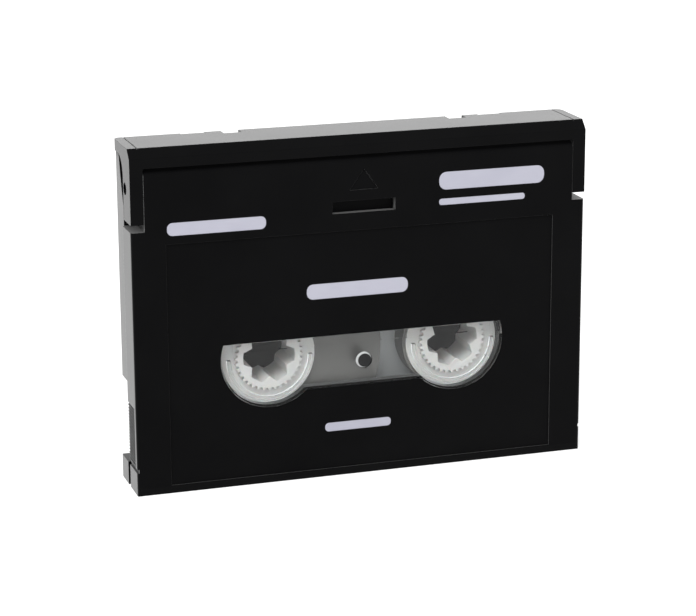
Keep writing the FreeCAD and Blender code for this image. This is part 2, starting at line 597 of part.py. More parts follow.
def arm():
    """Side arm on +X: a straight strap with a hollow curve up into the lid's end."""
    bevel_z = DEPTH - LID_BEVEL
    r = END_CAP_Z - PIVOT_Z - PIVOT_R
    points = [(FACE_Y, ARM_END_Z), (ARM_BACK_Y, ARM_END_Z), (ARM_BACK_Y, END_CAP_Z - r)]
    for i in range(1, 7):
        a = math.radians(15 * i)
        points.append((ARM_BACK_Y + r * 0.8 * (1 - math.cos(a)), END_CAP_Z - r * (1 - math.sin(a))))
    points += [(BACK_Y, END_CAP_Z), (BACK_Y, DEPTH), (FACE_Y + LID_BEVEL, DEPTH), (FACE_Y, bevel_z)]
    strap = prism_yz(points, HALF_W - ARM_T, HALF_W)

    def outer_end(b):
        return b.XMin > HALF_W - 0.01 and b.ZMin > DEPTH - 0.01

    return fillet_upright(strap, EDGE_R, outer_end)


def journal(inner_x):
    return cyl_x(PIVOT_Y, PIVOT_Z, PIVOT_R, inner_x, HALF_W - ARM_T)


def lid_cuts():
    """Edge notches, journal cores, end rounding and the fine line across the front plate."""
    cuts = []
    for start, end, depth in (DEEP_NOTCH_IN, SHALLOW_NOTCH_IN):
        cuts += both_sides(box(HALF_W - start, HALF_W - end, BACK_Y - depth, BACK_Y,
                               LID_IN_Z, DEPTH))
    line_x = HALF_W - LID_LINE_IN
    line = box(line_x, line_x + LID_LINE, FACE_Y, BACK_Y, DEPTH - LID_LINE, DEPTH)
    core = cyl_x(PIVOT_Y, PIVOT_Z, PIVOT_CORE_R, NECK_IN + RIB, HALF_W)
    for shape in (line, core, end_round()):
        cuts += both_sides(shape)
    return cuts


def end_round():
    """Corner post of waste that leaves the lid's slider-side end corner rounded."""
    r = 2 * EDGE_R
    post = box(HALF_W - r, HALF_W + 1, BACK_Y - r, BACK_Y + 1, END_CAP_Z - 1, DEPTH + 1)
    keep = Part.makeCylinder(r, END_CAP_T + 2, VEC(HALF_W - r, BACK_Y - r, END_CAP_Z - 1))
    return post.cut(keep)


def front_lid():
    stub = cyl_x(PIVOT_Y, PIVOT_Z, STUB_R, -NECK_IN, -NECK_IN + STUB_L)
    journals = both_sides(journal(NECK_IN))
    gap = box(-HALF_W + ARM_T, HALF_W - ARM_T, PIVOT_Y, BACK_Y, ARM_END_Z, LID_IN_Z)
    bar = lid_bar().cut(gap)
    return joined([bar, stub] + journals + both_sides(arm())).cut(lid_cuts())


# ---- slider -----------------------------------------------------------------------------
def arm_path():
    """Corner of the lid's arm as the slider sees it while both move together."""
    dy = ARM_BACK_Y - PIVOT_Y
    dz = ARM_END_Z - PIVOT_Z
    points = []
    for i in range(18):
        a = math.radians(i * LID_OPEN / 17)
        y = PIVOT_Y + dy * math.cos(a) - dz * math.sin(a)
        z = PIVOT_Z + dy * math.sin(a) + dz * math.cos(a) + SLIDER_TRAVEL * i / 17
        points.append((y + RELIEF_GAP, z - RELIEF_GAP))
    return [p for p in points if p[1] < SLIDER_FRONT_Z + 2]


def slider_wall():
    """Side wall on +X, relieved where the lid's arm swings through."""
    y0 = SEAM_Y + SIDE_GAP
    x0 = SLIDER_HALF - SLIDER_WALL
    wall = box(x0, SLIDER_HALF, y0, BACK_Y, SLIDER_REAR_Z, SLIDER_FRONT_Z)

    def back_edge(b):
        return b.ZLength > 1 and b.XMin > SLIDER_HALF - 0.01 and b.YMin > BACK_Y - 0.01

    wall = fillet_upright(wall, EDGE_R, back_edge)
    path = arm_path()
    first = (FACE_Y, path[0][1])
    last = (FACE_Y, path[-1][1])
    relief = prism_yz([first] + path + [last], x0 - 1, SLIDER_HALF + 1)
    lip = box(x0 - LIP_W, x0, LIP_Y[0], LIP_Y[1], SLIDER_REAR_Z, NECK_Z)
    return joined([wall.cut(relief), lip])


def slider():
    half = SLIDER_HALF - EDGE_R
    plate = box(-half, half, SLIDER_IN, BACK_Y, SLIDER_REAR_Z, SLIDER_FRONT_Z)
    apron = box(-APRON_HALF, APRON_HALF, SLIDER_IN, BACK_Y, APRON_Z, SLIDER_REAR_Z)
    peg_half = CHANNEL_HALF - 2 * SIDE_GAP
    peg = box(-peg_half, peg_half, CHANNEL_Y + SIDE_GAP, SLIDER_IN, *PEG_Z)
    body = joined([plate, apron, peg] + both_sides(slider_wall()))
    hole_z = HUB_Z + SLIDER_TRAVEL
    holes = [cyl_y(s * HUB_X, hole_z, HUB_HOLE_R + SIDE_GAP, SLIDER_IN, BACK_Y) for s in (-1, 1)]
    return body.cut(holes)


# ---- reels ------------------------------------------------------------------------------
def spline(angle):
    """One pointed spline, tapered away at the slider end for the spindle to enter."""
    half = math.radians(SPLINE_HALF_DEG)
    root = (SPLINE_ROOT_R + HUB_FIT) / math.cos(half)
    a = math.radians(angle)
    points = [(root * math.cos(a - half), root * math.sin(a - half))]
    points.append((SPLINE_TIP_R * math.cos(a), SPLINE_TIP_R * math.sin(a)))
    points.append((root * math.cos(a + half), root * math.sin(a + half)))
    return prism_xz(points, RING_Y, HUB_END_Y)


def tooth_ring(turn):
    """Ring of fine outward teeth that the brake's arms face."""
    step = 360.0 / TOOTH_COUNT
    low = RING_R - TOOTH_H
    points = []
    for i in range(TOOTH_COUNT):
        a = turn + i * step
        for r, part in ((low, -0.32), (RING_R, -0.14), (RING_R, 0.14), (low, 0.32)):
            b = math.radians(a + part * step)
            points.append((r * math.cos(b), r * math.sin(b)))
    return prism_xz(points, RING_Y, CORE_Y[0])


def hub(x, turn):
    """Reel hub: core, tooth ring, collar in the floor hole and splined spindle hole."""
    parts = [cyl_y(0, 0, CORE_R, *CORE_Y), tooth_ring(turn)]
    parts.append(cyl_y(0, 0, RING_R, CORE_Y[1], HUB_END_Y))
    body = joined(parts).cut(cyl_y(0, 0, SPLINE_ROOT_R, RING_Y, HUB_END_Y))
    teeth = [spline(turn + i * 360.0 / SPLINE_COUNT) for i in range(SPLINE_COUNT)]
    cone = Part.makeCone(SPLINE_TIP_R - 0.1, SPLINE_ROOT_R, LEAD_IN,
                         VEC(0, HUB_END_Y - LEAD_IN, 0), VEC(0, 1, 0))
    teeth = [t.cut(cone) for t in teeth]
    body = joined([body] + teeth).cut(clamp_sector(CORE_R + 1))
    body.translate(VEC(x, 0, HUB_Z))
    return body


def clamp_sector(r_out):
    """Wedge of the core that the leader clamp fills, open toward the slider side."""
    a = math.radians(CLAMP_HALF_DEG)
    far = 2 * r_out
    wedge = prism_xz([(0, 0), (far * math.sin(a), far * math.cos(a)),
                      (-far * math.sin(a), far * math.cos(a))], CORE_Y[0] + RIB, CORE_Y[1])
    return wedge.common(ring(0, 0, CLAMP_R, r_out, CORE_Y[0] + RIB, CORE_Y[1]))


def leader_clamp(x):
    piece = clamp_sector(CORE_R)
    piece.translate(VEC(x, 0, HUB_Z))
    return piece


def tape_pack(x, r):
    return ring(x, HUB_Z, CORE_R, r, TAPE_Y, TAPE_END_Y)


def tangent(side, reel_r, offset):
    """Where the tape, on its outer side, leaves the reel and meets the guide pin."""
    cx, cz = side * HUB_X, HUB_Z
    px, pz = side * PIN_X, PIN_Z
    dist = math.hypot(px - cx, pz - cz)
    ux, uz = (px - cx) / dist, (pz - cz) / dist
    nx, nz = side * uz, -side * ux
    s = (reel_r - PIN_R) / dist
    c = math.sqrt(1 - s * s)
    mx, mz = nx * c + ux * s, nz * c + uz * s
    big, small = reel_r + offset, PIN_R + offset
    return (cx + big * mx, cz + big * mz), (px + small * mx, pz + small * mz)


def tape_line(offset):
    """Edges of the tape's path at one offset, left reel to right reel."""
    left_reel, left_pin = tangent(-1, PACK_R + PACK_GAP, offset)
    right_reel, right_pin = tangent(1, TURNS_R + PACK_GAP, offset)
    top = PIN_Z + PIN_R + offset
    slant = (PIN_R + offset) * math.sqrt(0.5)
    edges = [line(left_reel, left_pin)]
    edges.append(arc(left_pin, (-PIN_X - slant, PIN_Z + slant), (-PIN_X, top)))
    edges.append(line((-PIN_X, top), (PIN_X, top)))
    edges.append(arc((PIN_X, top), (PIN_X + slant, PIN_Z + slant), right_pin))
    edges.append(line(right_pin, right_reel))
    return edges, left_reel, right_reel


def line(a, b):
    return Part.makeLine(VEC(a[0], TAPE_Y, a[1]), VEC(b[0], TAPE_Y, b[1]))


def arc(a, b, c):
    return Part.Arc(*[VEC(p[0], TAPE_Y, p[1]) for p in (a, b, c)]).toShape()


def tape_run():
    inner, in_left, in_right = tape_line(0)
    outer, out_left, out_right = tape_line(TAPE_T)
    edges = inner + [line(in_right, out_right)] + outer + [line(out_left, in_left)]
    wire = Part.Wire(Part.__sortEdges__(edges))
    return Part.Face(wire).extrude(VEC(0, TAPE_W, 0))


def liner(span, has_window):
    """Thin sheet beside the reels, with round holes for the hubs."""
    sheet = box(-LINER_HALF, LINER_HALF, span[0], span[1], *LINER_Z)
    cuts = [cyl_y(s * HUB_X, HUB_Z, LINER_HOLE_R, *span) for s in (-1, 1)]
    cuts += both_sides(cyl_y(SCREW_REAR[0], SCREW_REAR[1], BOSS_R + SIDE_GAP, *span))
    corner = box(PAD_HALF - 1, LINER_HALF, span[0], span[1], 0, BLOCK_Z + 2 * RIB)
    cuts += both_sides(corner)
    if has_window:
        cuts.append(window_blank(SKIRT_IN, *span))
    return sheet.cut(cuts)


# ---- small pieces -----------------------------------------------------------------------
def guide_pin(side):
    return cyl_y(side * PIN_X, PIN_Z, PIN_R, PLATE_IN - PIN_SEAT, FLOOR_IN + PIN_SEAT)


def end_prism(side):
    """Clear block with its label-side face cut at 45 degrees to turn the light."""
    half = (PRISM_X[1] - PRISM_X[0]) / 2
    x0, x1 = PRISM_X
    loop = [VEC(x0, PRISM_Y[1], 0), VEC(x1, PRISM_Y[1], 0), VEC(x1, PRISM_Y[0] + half, 0),
            VEC(x1 - half, PRISM_Y[0], 0), VEC(x0, PRISM_Y[0], 0)]
    face = Part.Face(Part.makePolygon(loop + loop[:1]))
    block = face.extrude(VEC(0, 0, PRISM_Z[1] - PRISM_Z[0]))
    block.translate(VEC(0, 0, PRISM_Z[0]))
    return block if side > 0 else mirrored(block)


def write_tab():
    body = box(INHIBIT_X - TAB_L / 2, INHIBIT_X + TAB_L / 2, TAB_Y[0], TAB_Y[1], *TAB_Z)
    y0, y1 = tab_nub_y()
    nub = box(INHIBIT_X - TAB_NUB, INHIBIT_X + TAB_NUB, y0, y1, TAB_GAP, TAB_Z[0])
    groove = box(INHIBIT_X - TAB_GAP, INHIBIT_X + TAB_GAP, y0, y1, TAB_GAP, 2 * TAB_GAP)
    return joined([body, nub]).cut(groove)


def screw(x, z):
    """Cross-recess screw, head toward the slider side."""
    seat = FLOOR_OUT - SCREW_SINK
    head = cyl_y(x, z, SCREW_HEAD_R, seat, seat + SCREW_HEAD_T)
    shank = cyl_y(x, z, SCREW_R, SCREW_END_Y, seat)
    long, thin = SCREW_HEAD_R * 0.6, SCREW_HEAD_R * 0.16
    y0, y1 = seat + SCREW_HEAD_T / 2, seat + SCREW_HEAD_T
    slots = [box(x - long, x + long, y0, y1, z - thin, z + thin)]
    slots.append(box(x - thin, x + thin, y0, y1, z - long, z + long))
    return joined([head, shank]).cut(slots)


def brake():
    """Reel lock: a stem that slides in Z with one arm over each hub's tooth ring."""
    y0, y1 = BRAKE_Y
    z0, z1 = BRAKE_BAR_Z
    half = HUB_X + BRAKE_ARM
    bar = box(-half, half, y0, y1, z0, z1)
    stem = box(-BRAKE_STEM_HALF, BRAKE_STEM_HALF, y0, y1, z0, STEM_TOP_Z)
    leg = box(HUB_X - BRAKE_ARM, half, y0, y1, HUB_Z + RING_R - TOOTH_H, z1)
    body = joined([bar, stem] + both_sides(leg))
    slot = box(-BRAKE_SLOT_HALF, BRAKE_SLOT_HALF, y0, y1, *BRAKE_SLOT_Z)
    ring_room = cyl_y(HUB_X, HUB_Z, RING_R + BRAKE_CLEAR, y0, y1)
    return body.cut([slot] + both_sides(ring_room))


def brake_spring():
    length = BRAKE_POST_Z[0] - BRAKE_SLOT_Z[0] - 2 * SPRING_WIRE
    shape = coil(BRAKE_COIL_R, length, BRAKE_COILS)
    middle = (BRAKE_Y[0] + BRAKE_Y[1]) / 2
    shape.translate(VEC(0, middle, BRAKE_SLOT_Z[0] + SPRING_WIRE))
    return shape


def slider_spring():
    length = PEG_Z[0] - CHANNEL_Z[0] - 2 * SPRING_WIRE
    shape = coil(SLIDER_COIL_R, length, SLIDER_COILS)
    middle = CHANNEL_Y + SLIDER_COIL_R + 2 * SPRING_WIRE
    shape.translate(VEC(0, middle, CHANNEL_Z[0] + SPRING_WIRE))
    return shape


def lid_spring():
    """Torsion spring round the stub of the left journal, with one straight leg."""
    turns = coil(LID_COIL_R, LID_COILS * LID_COIL_PITCH, LID_COILS, LID_LEG)
    shape = turns.mirror(VEC(0, 0, 0), VEC(0, 1, 0))
    shape.rotate(VEC(0, 0, 0), VEC(0, 1, 0), 90)
    shape.rotate(VEC(0, 0, 0), VEC(1, 0, 0), -90)
    shape.translate(VEC(-NECK_IN + SPRING_WIRE, PIVOT_Y, PIVOT_Z))
    return shape


def all_parts():
    parts = {
        "upper_shell": upper_shell(),
        "lower_shell": lower_shell(),
        "window": window(),
        "front_lid": front_lid(),
        "slider": slider(),
        "supply_hub": hub(-HUB_X, SPLINE_TURN - 360.0 / TOOTH_COUNT),
        "takeup_hub": hub(HUB_X, SPLINE_TURN),
        "supply_leader_clamp": leader_clamp(-HUB_X),
        "takeup_leader_clamp": leader_clamp(HUB_X),
        "supply_tape_pack": tape_pack(-HUB_X, PACK_R),
        "takeup_tape_turns": tape_pack(HUB_X, TURNS_R),
        "tape_run": tape_run(),
        "upper_liner_sheet": liner(LINER_UP, True),
        "lower_liner_sheet": liner(LINER_LOW, False),
        "guide_pin_left": guide_pin(-1),
        "guide_pin_right": guide_pin(1),
        "end_sensor_prism_left": end_prism(-1),
        "end_sensor_prism_right": end_prism(1),
        "reel_brake": brake(),
        "brake_spring": brake_spring(),
        "slider_spring": slider_spring(),
        "lid_spring": lid_spring(),
        "write_protect_tab": write_tab(),
    }
    for name, (x, z) in (("rear", SCREW_REAR), ("front", SCREW_FRONT)):
        parts["screw_" + name + "_left"] = screw(-x, z)
        parts["screw_" + name + "_right"] = screw(x, z)
    return parts


def main():
    os.makedirs("parts", exist_ok=True)
    for name, shape in all_parts().items():
        shape.exportStep("parts/" + name + ".step")
        print(name, len(shape.Solids), shape.isValid(), round(shape.Volume, 2))


main()
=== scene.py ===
# %% [markdown]
# # Dressing a 4 mm data tape cartridge
# The solids come from the CAD model and already have their true size and place. This lesson
# gives each of them the finish of its real material. It then adds the printed bars of the label
# side, the cut gate in the window and two coil springs, and sets up a plain light studio with
# one camera.

# %% Load the CAD model
import math

import bpy
from mathutils import Matrix, Vector


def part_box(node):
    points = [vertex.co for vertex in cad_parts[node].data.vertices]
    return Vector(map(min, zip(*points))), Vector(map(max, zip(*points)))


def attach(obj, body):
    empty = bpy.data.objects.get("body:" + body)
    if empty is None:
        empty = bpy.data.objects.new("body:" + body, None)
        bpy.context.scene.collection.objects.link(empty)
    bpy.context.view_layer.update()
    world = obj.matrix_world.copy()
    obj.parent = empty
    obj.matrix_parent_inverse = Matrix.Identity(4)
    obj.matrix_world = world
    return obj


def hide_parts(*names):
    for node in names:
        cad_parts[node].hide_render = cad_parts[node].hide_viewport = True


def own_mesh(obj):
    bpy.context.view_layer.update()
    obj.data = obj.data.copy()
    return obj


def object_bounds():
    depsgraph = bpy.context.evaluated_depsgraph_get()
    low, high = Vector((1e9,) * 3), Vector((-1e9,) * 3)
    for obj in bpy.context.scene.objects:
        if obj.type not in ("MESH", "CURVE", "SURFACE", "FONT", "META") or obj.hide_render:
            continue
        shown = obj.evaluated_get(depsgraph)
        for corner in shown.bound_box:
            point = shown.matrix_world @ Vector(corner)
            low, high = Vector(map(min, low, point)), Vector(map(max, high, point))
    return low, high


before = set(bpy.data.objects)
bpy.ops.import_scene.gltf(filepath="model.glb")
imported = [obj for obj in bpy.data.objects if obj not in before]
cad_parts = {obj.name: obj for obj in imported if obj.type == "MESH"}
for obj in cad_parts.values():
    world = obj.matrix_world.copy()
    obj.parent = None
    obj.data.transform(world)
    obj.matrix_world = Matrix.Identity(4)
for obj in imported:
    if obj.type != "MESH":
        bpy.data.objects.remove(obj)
cad_box = [list(corner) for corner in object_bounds()]
MM = 0.001
print("CAD box, mm:", [[round(v / MM, 2) for v in corner] for corner in cad_box])

# %% [markdown]
# ## Helpers for materials
# Colours are written as the hex codes a paint program shows, so one function turns them to the
# linear values that a shader wants. A second function adds any shader node, sets its
# properties and inputs, and links what feeds it. The last two start a material and find the
# socket that its finished surface goes into. Everything else is built from these.

# %% Colour and node helpers
def linear(code):
    """Linear red, green, blue and alpha of a hex code."""
    channels = [int(code[i:i + 2], 16) / 255 for i in (1, 3, 5)]
    return [c / 12.92 if c <= 0.04045 else ((c + 0.055) / 1.055) ** 2.4 for c in channels] + [1.0]


def add_node(tree, kind, values=None, links=None, **settings):
    """A node with its settings, the values of its inputs and the sockets that feed them."""
    node = tree.nodes.new(kind)
    for name, value in settings.items():
        setattr(node, name, value)
    for name, value in (values or {}).items():
        node.inputs[name].default_value = value
    for name, source in (links or {}).items():
        tree.links.new(source, node.inputs[name])
    return node


def new_finish(name, values):
    """A material with one Principled shader; returns it, its node tree and its shader."""
    finish = bpy.data.materials.new(name)
    finish.use_nodes = True
    tree = finish.node_tree
    tree.nodes.clear()
    shader = add_node(tree, "ShaderNodeBsdfPrincipled", values)
    add_node(tree, "ShaderNodeOutputMaterial", links={"Surface": shader.outputs["BSDF"]})
    return finish, tree, shader


def surface_socket(tree):
    """The socket of a material's output node that takes the finished surface."""
    output = [n for n in tree.nodes if n.bl_idname == "ShaderNodeOutputMaterial"][0]
    return output.inputs["Surface"]


print("a grey shown as #808080 is", round(linear("#808080")[0], 3), "of white in linear light")

# %% [markdown]
# ## Surface of a moulded piece
# A steel mould leaves its own finish on plastic: a fine grain from spark erosion, and a very
# slight cloudiness where the melt flowed. Sharp corners do not exist either: each edge has a
# radius of about a tenth of a millimetre, which catches a thin line of light. The Bevel node
# rounds the shading of every edge without touching the mesh, a noise adds the grain, and a
# broad noise moves the roughness a little from place to place.

# %% Moulded surface
EDGE_RADIUS_MM = 0.11
EDGE_SAMPLES = 4
FLOW_MM = 9.0
GLOSS_DRIFT = 0.15


def moulded_surface(tree, shader, grain_mm, grain_depth_mm, rough):
    """Rounded edges, grain and drifting gloss; returns the noise that follows the melt."""
    place = add_node(tree, "ShaderNodeTexCoord").outputs["Object"]
    grain = add_node(tree, "ShaderNodeTexNoise", {"Scale": 1 / (grain_mm * MM), "Detail": 2.0},
                     {"Vector": place})
    flow = add_node(tree, "ShaderNodeTexNoise", {"Scale": 1 / (FLOW_MM * MM), "Detail": 3.0},
                    {"Vector": place})
    spread = add_node(tree, "ShaderNodeMapRange",
                      {"To Min": rough * (1 - GLOSS_DRIFT), "To Max": rough * (1 + GLOSS_DRIFT)},
                      {"Value": flow.outputs["Fac"]})
    tree.links.new(spread.outputs["Result"], shader.inputs["Roughness"])
    edge = add_node(tree, "ShaderNodeBevel", {"Radius": EDGE_RADIUS_MM * MM},
                    samples=EDGE_SAMPLES)
    bump = add_node(tree, "ShaderNodeBump", {"Strength": 1.0, "Distance": grain_depth_mm * MM},
                    {"Height": grain.outputs["Fac"], "Normal": edge.outputs["Normal"]})
    tree.links.new(bump.outputs["Normal"], shader.inputs["Normal"])
    return flow


print(f"edges are rounded by {EDGE_RADIUS_MM} mm, clouds are {FLOW_MM} mm wide")

# %% [markdown]
# ## Colour of a moulded piece
# Pigment is never spread quite evenly in the melt, so one flat colour looks like paint. Two
# tones that lie very close could be brushed on by hand, but the broad noise of the melt flow
# already says where one drifts into the other.

# %% Cloudy colour and moulded finish
DARK_UP_TO = 0.3
LIGHT_FROM = 0.7


def cloudy_colour(tree, shader, flow, dark, light):
    """Lets the colour drift between two close tones where the melt flowed."""
    ramp = add_node(tree, "ShaderNodeValToRGB", links={"Fac": flow.outputs["Fac"]})
    ramp.color_ramp.elements[0].position = DARK_UP_TO
    ramp.color_ramp.elements[0].color = linear(dark)
    ramp.color_ramp.elements[1].position = LIGHT_FROM
    ramp.color_ramp.elements[1].color = linear(light)
    tree.links.new(ramp.outputs["Color"], shader.inputs["Base Color"])


def moulded_finish(name, values, grain_mm, grain_depth_mm, rough, dark, light):
    """A moulded plastic: its shader's own values, its grain and its two tones."""
    finish, tree, shader = new_finish(name, values)
    flow = moulded_surface(tree, shader, grain_mm, grain_depth_mm, rough)
    cloudy_colour(tree, shader, flow, dark, light)
    return finish


print(f"dark tone up to {DARK_UP_TO} of the noise, light tone from {LIGHT_FROM}")

# %% [markdown]
# ## Black styrene of the case
# The two shell halves are moulded in black high-impact polystyrene with a matt spark-eroded
# finish. It swallows light from the front and turns grey where the eye grazes it. A plain
# glossy coat would put a grey veil on the front too, so it gets a deep base colour, a very low
# specular level, and a sheen that is only bright at grazing angles.

# %% Black moulded polystyrene
STYRENE_IOR = 1.59

shell_finish = moulded_finish(
    "black moulded polystyrene",
    {"IOR": STYRENE_IOR, "Specular IOR Level": 0.03, "Sheen Weight": 1.0,
     "Sheen Roughness": 0.32},
    grain_mm=0.22, grain_depth_mm=0.004, rough=0.42, dark="#040405", light="#080809")
print(shell_finish.name, "has", len(shell_finish.node_tree.nodes), "nodes")

# %% [markdown]
# ## Black styrene of the lid
# The front lid is moulded in the same black, but from a polished tool, so that dust wipes off.
# Its grain is shallower, it is less rough and its sheen is weaker, so the eye sees an even and
# slightly darker grey on its top.

# %% Polished black plastic of the lid
lid_finish = moulded_finish(
    "polished black polystyrene",
    {"IOR": STYRENE_IOR, "Specular IOR Level": 0.04, "Sheen Weight": 0.5,
     "Sheen Roughness": 0.3},
    grain_mm=0.35, grain_depth_mm=0.0015, rough=0.22, dark="#040405", light="#080809")
print(lid_finish.name, "has", len(lid_finish.node_tree.nodes), "nodes")

# %% [markdown]
# ## Black acetal of the slider
# The slider rubs along the case each time the cartridge is loaded. It is black acetal, which
# glides dry, with a satin finish: a little rougher than the shell, so its side walls catch the
# softest and broadest light.

# %% Satin black plastic of the slider
ACETAL_IOR = 1.48

slider_finish = moulded_finish(
    "satin black acetal",
    {"IOR": ACETAL_IOR, "Specular IOR Level": 0.03, "Sheen Weight": 1.0,
     "Sheen Roughness": 0.36},
    grain_mm=0.18, grain_depth_mm=0.003, rough=0.48, dark="#050506", light="#090a0a")
print(slider_finish.name, "has", len(slider_finish.node_tree.nodes), "nodes")

# %% [markdown]
# ## Clear pieces
# The window and the two light prisms are clear styrene and acrylic: full transmission with the
# refractive index of the plastic, so their edges bend what lies behind. Light that passes
# through them has to reach the reels, and a path tracer finds such light slowly, so for shadow
# rays the piece is simply transparent. A grey specular tint keeps the mirror image of the white
# room faint on the pane.

# %% Clear moulded plastics
ACRYLIC_IOR = 1.49
CLEAR_EDGE_RADIUS_MM = 0.08
POLISHED_ROUGH = 0.02


def clear_finish(name, ior, tint):
    """A clear plastic with polished faces that lets lamp light straight through."""
    finish, tree, shader = new_finish(name, {
        "Base Color": linear(tint), "IOR": ior, "Roughness": POLISHED_ROUGH,
        "Transmission Weight": 1.0, "Specular Tint": linear("#9c9c9c")})
    edge = add_node(tree, "ShaderNodeBevel", {"Radius": CLEAR_EDGE_RADIUS_MM * MM},
                    samples=EDGE_SAMPLES)
    tree.links.new(edge.outputs["Normal"], shader.inputs["Normal"])
    shadow = add_node(tree, "ShaderNodeLightPath").outputs["Is Shadow Ray"]
    clear = add_node(tree, "ShaderNodeBsdfTransparent", {"Color": linear("#f2f4f4")})
    both = add_node(tree, "ShaderNodeMixShader", links={"Fac": shadow})
    tree.links.new(shader.outputs["BSDF"], both.inputs[1])
    tree.links.new(clear.outputs["BSDF"], both.inputs[2])
    tree.links.new(both.outputs["Shader"], surface_socket(tree))
    return finish


window_finish = clear_finish("clear moulded polystyrene", STYRENE_IOR, "#f7f9f9")
prism_finish = clear_finish("clear moulded acrylic", ACRYLIC_IOR, "#f8faf9")
print("made", window_finish.name, "and", prism_finish.name)

# %% [markdown]
# ## Painted shade and bond on the window's edges
# The pane's straight lower edge gets a painted shade: a flat dark colour in place of what it
# would mirror. The flange behind its top edge and its ends is bonded to the shell. Either edge
# could be a separate piece with its own material, but the window is one moulding, so each edge
# is found by where it lies, with masks on Object coordinates that are 1 on the edge and 0
# elsewhere.

# %% Masks for the window's edges
# The pane's straight lower edge below takes a painted shade.
SHADED_EDGE_Z_MM = 14.54
SHADED_HALF_MM = 9.3
FLANGE_Z_MM = 21.2
FLANGE_HALF_MM = 21.0
FLANGE_Y_MM = -4.04
NEAR_MM = 0.04

tree = window_finish.node_tree
split = add_node(tree, "ShaderNodeSeparateXYZ", links={
    "Vector": add_node(tree, "ShaderNodeTexCoord").outputs["Object"]})
wide = add_node(tree, "ShaderNodeMath", links={0: split.outputs["X"]}, operation="ABSOLUTE")
at_bottom = add_node(tree, "ShaderNodeMath", {1: SHADED_EDGE_Z_MM * MM, 2: NEAR_MM * MM},
                     {0: split.outputs["Z"]}, operation="COMPARE")
between_hubs = add_node(tree, "ShaderNodeMath", {1: SHADED_HALF_MM * MM},
                        {0: wide.outputs["Value"]}, operation="LESS_THAN")
low_edge = add_node(tree, "ShaderNodeMath", links={
    0: at_bottom.outputs["Value"], 1: between_hubs.outputs["Value"]}, operation="MULTIPLY")
at_top = add_node(tree, "ShaderNodeMath", {1: FLANGE_Z_MM * MM, 2: NEAR_MM * MM},
                  {0: split.outputs["Z"]}, operation="COMPARE")
at_ends = add_node(tree, "ShaderNodeMath", {1: FLANGE_HALF_MM * MM, 2: NEAR_MM * MM},
                   {0: wide.outputs["Value"]}, operation="COMPARE")
outer = add_node(tree, "ShaderNodeMath", links={
    0: at_top.outputs["Value"], 1: at_ends.outputs["Value"]}, operation="MAXIMUM")
behind = add_node(tree, "ShaderNodeMath", {1: FLANGE_Y_MM * MM}, {0: split.outputs["Y"]},
                  operation="GREATER_THAN")
rim = add_node(tree, "ShaderNodeMath", links={
    0: outer.outputs["Value"], 1: behind.outputs["Value"]}, operation="MULTIPLY")
print(f"dark glue line at z {SHADED_EDGE_Z_MM} mm, bonded flange at z {FLANGE_Z_MM} mm")

# %% [markdown]
# ## Bond and painted shade
# The lower edge's painted shade is a flat dark line that mirrors nothing, so it is a dark diffuse
# shader. The flange's rim is wetted by the bond and doesn't bend light, so it is transparent.
# Each is mixed over the clear plastic where its mask says so.

# %% Shaders of the window's edges
bond = add_node(tree, "ShaderNodeBsdfTransparent", {"Color": linear("#ffffff")})
# Painted shade: a flat dark diffuse colour on the pane's lower edge.
edge_painted_shade = add_node(tree, "ShaderNodeBsdfDiffuse", {"Color": linear("#111112")})
surface = surface_socket(tree).links[0].from_socket
for mask, edge_shader in ((rim, bond), (low_edge, edge_painted_shade)):
    both = add_node(tree, "ShaderNodeMixShader", links={"Fac": mask.outputs["Value"]})
    tree.links.new(surface, both.inputs[1])
    tree.links.new(edge_shader.outputs["BSDF"], both.inputs[2])
    surface = both.outputs["Shader"]
tree.links.new(surface, surface_socket(tree))
print(window_finish.name, "has", len(tree.nodes), "nodes")

# %% [markdown]
# ## White acetal of hubs and brake
# Hubs and brake are natural acetal: a slightly translucent white with a low sheen. A little
# subsurface scattering softens the shading as in the real material. The tab is moulded the same
# way, in a light grey that shows at a glance in its hole.

# %% Natural white acetal
def acetal(name, dark, light):
    """Acetal in its natural or a pale colour, with light that spreads a little inside it."""
    return moulded_finish(
        name,
        {"IOR": ACETAL_IOR, "Subsurface Weight": 0.12, "Subsurface Scale": 0.6 * MM,
         "Specular IOR Level": 0.45},
        grain_mm=0.3, grain_depth_mm=0.001, rough=0.36, dark=dark, light=light)


hub_finish = acetal("natural white acetal", "#d7d5d3", "#e3e0de")
brake_finish = acetal("natural white acetal of the brake", "#d2d4d0", "#dddfdb")
tab_finish = acetal("light grey moulded tab", "#b9bab8", "#c4c5c3")
print("made", [finish.name for finish in (hub_finish, brake_finish, tab_finish)])

# %% [markdown]
# ## Wound tape
# Seen from the side, a reel of tape is thousands of film edges. Layers stand a few micrometres
# higher or lower, and each light or dark band is a stretch of the winding, so the pattern is a
# set of rings round the hub. The ring number is the distance from the hub's axis, fed to a
# one-dimensional noise. Real layers are about 0.008 mm thick, too fine to show, so the rings
# here are drawn about 0.12 mm apart. To the eye it is a dull grey with fine silky circles.

# %% Wound tape edges
RING_MM = 0.12
RING_HEIGHT_MM = 0.004
RING_ROUGH = (0.28, 0.42)
HUB_X_MM = 15.0
HUB_Z_MM = 20.0


